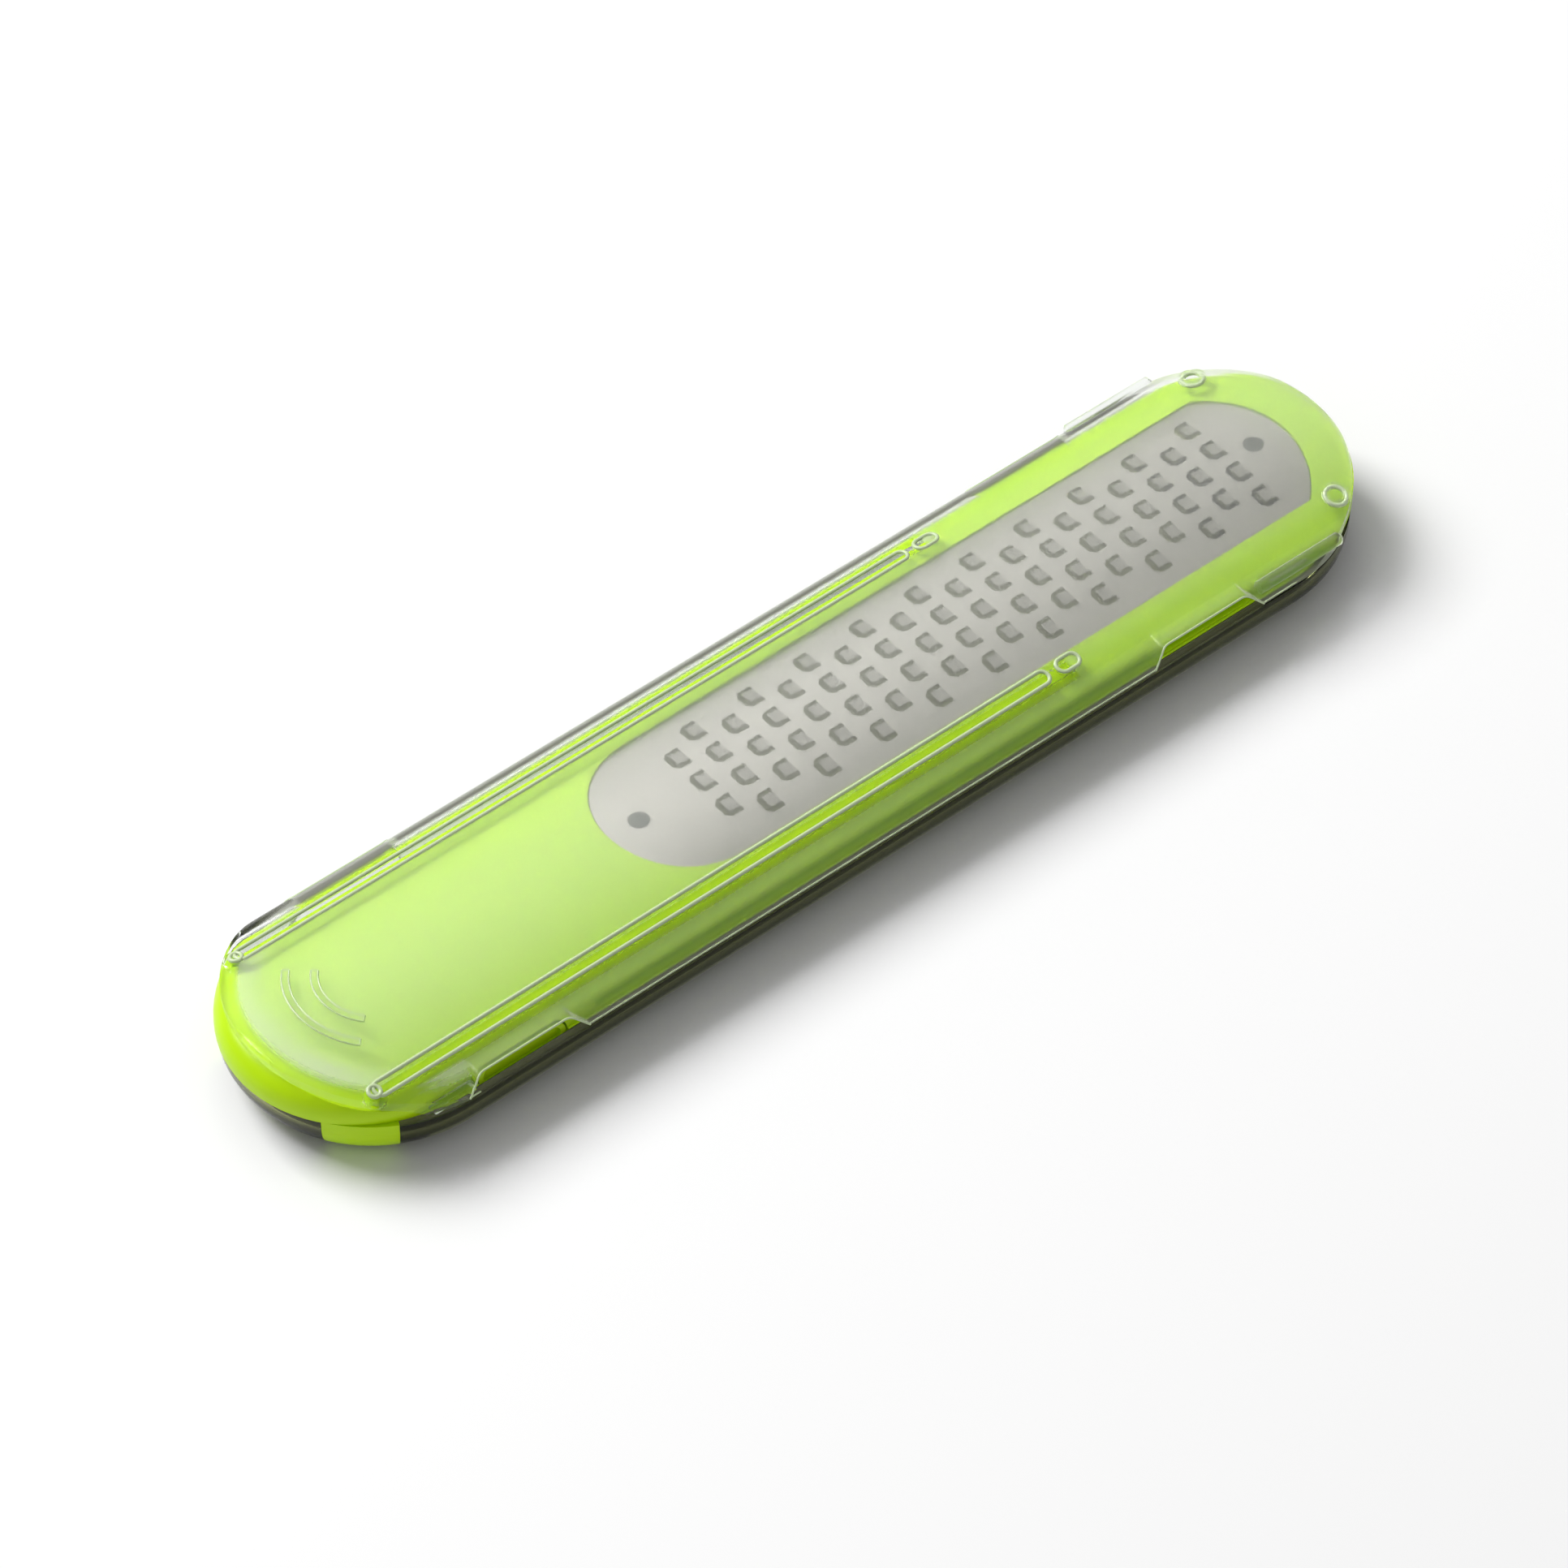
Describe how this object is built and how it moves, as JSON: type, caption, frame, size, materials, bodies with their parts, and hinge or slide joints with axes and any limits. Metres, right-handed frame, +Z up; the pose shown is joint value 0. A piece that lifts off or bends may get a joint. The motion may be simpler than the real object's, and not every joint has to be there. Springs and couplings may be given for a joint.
{
  "type": "rasp zester",
  "caption": "Hand rasp zester with an arched etched steel blade in a green frame, a clear catch tray and a frosted cover that slides back along two guide tracks.",
  "frame": {"origin": "centre of the flat underside of the tray, where the zester rests", "axes": "+X along the tool to the blade's far end, +Y to the left side, +Z up through the blade"},
  "size_m": [0.1966, 0.044, 0.0143],
  "materials": {
    "frosted_clear_plastic": "fine frosted, glossy edges",
    "clear_plastic": "clear, polished",
    "lime_plastic": "smooth moulded",
    "lime_plastic_button": "smooth moulded",
    "etched_steel": "satin etched stainless",
    "rivet_steel": "dull"
  },
  "bodies": {
    "tray": {"bottom_cover": "clear_plastic"},
    "zester": {"body_frame": "lime_plastic", "blade": "etched_steel", "blade_rivet_near": "rivet_steel", "blade_rivet_far": "rivet_steel"},
    "cover": {"top_cover": "frosted_clear_plastic"},
    "left_button": {"release_button_left": "lime_plastic_button"},
    "right_button": {"release_button_right": "lime_plastic_button"}
  },
  "joints": [
    {"name": "zester_lift", "type": "slide", "parent": "tray", "child": "zester", "axis": [0, 0, 1], "range_m": [0, 0.03]},
    {"name": "cover_slide", "type": "slide", "parent": "zester", "child": "cover", "axis": [-1, 0, 0], "range_m": [0, 0.1238]},
    {"name": "left_button_press", "type": "slide", "parent": "zester", "child": "left_button", "axis": [0, -1, 0], "range_m": [0, 0.0012], "stiffness_N_per_m": 1500},
    {"name": "right_button_press", "type": "slide", "parent": "zester", "child": "right_button", "axis": [0, 1, 0], "range_m": [0, 0.0012], "stiffness_N_per_m": 1500}
  ]
}
